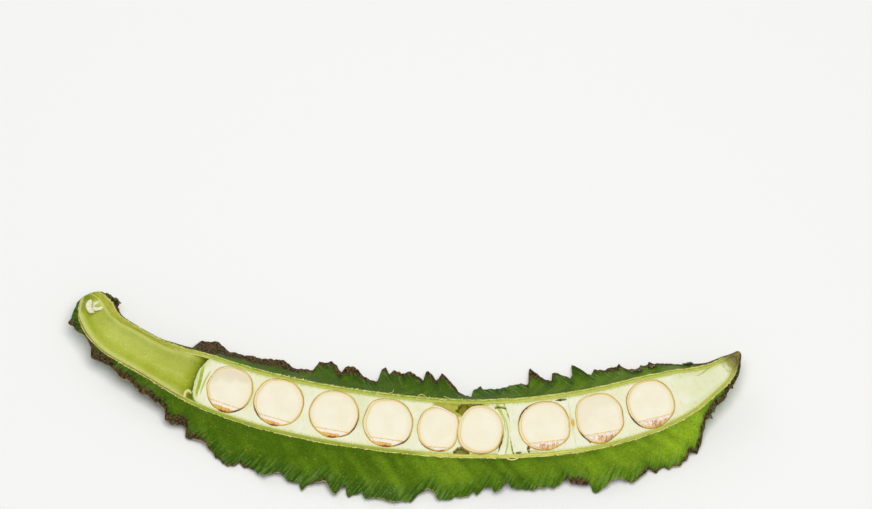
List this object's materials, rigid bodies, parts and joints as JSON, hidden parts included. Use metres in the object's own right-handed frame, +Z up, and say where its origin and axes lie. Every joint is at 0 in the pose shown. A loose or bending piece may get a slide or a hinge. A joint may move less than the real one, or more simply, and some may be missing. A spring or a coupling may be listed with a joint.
{
  "type": "winged bean half pod",
  "caption": "Half of a curved green winged bean pod, split lengthwise, lying cut face up with its cream seeds in white pith and two toothed wings.",
  "frame": {"origin": "on the ground under the middle of the pod's box, at the level of the flat of the belly", "axes": "+X runs along the pod from the stalk end to the pointed tip, +Y towards the back wing, inside the pod's bend, +Z up out of the cut face"},
  "size_m": [0.1514, 0.0482, 0.0085],
  "materials": {
    "pod_skin": "fresh green pod skin, finely ribbed and half matt, with dried brown wing edges",
    "pith": "moist spongy white pith, matt",
    "seed": "cut cream cotyledon, smooth and slightly moist, with a thin golden-brown seed coat"
  },
  "bodies": {
    "root": {"pod_shell": "pod_skin", "pith_stalk_side": "pith", "pith_tip_side": "pith", "septum_flap": "pith", "pith_scrap": "pith", "seed_1": "seed", "seed_2": "seed", "seed_3": "seed", "seed_4": "seed", "seed_5": "seed", "seed_6": "seed", "seed_7": "seed", "seed_8": "seed", "seed_9": "seed"}
  },
  "joints": []
}
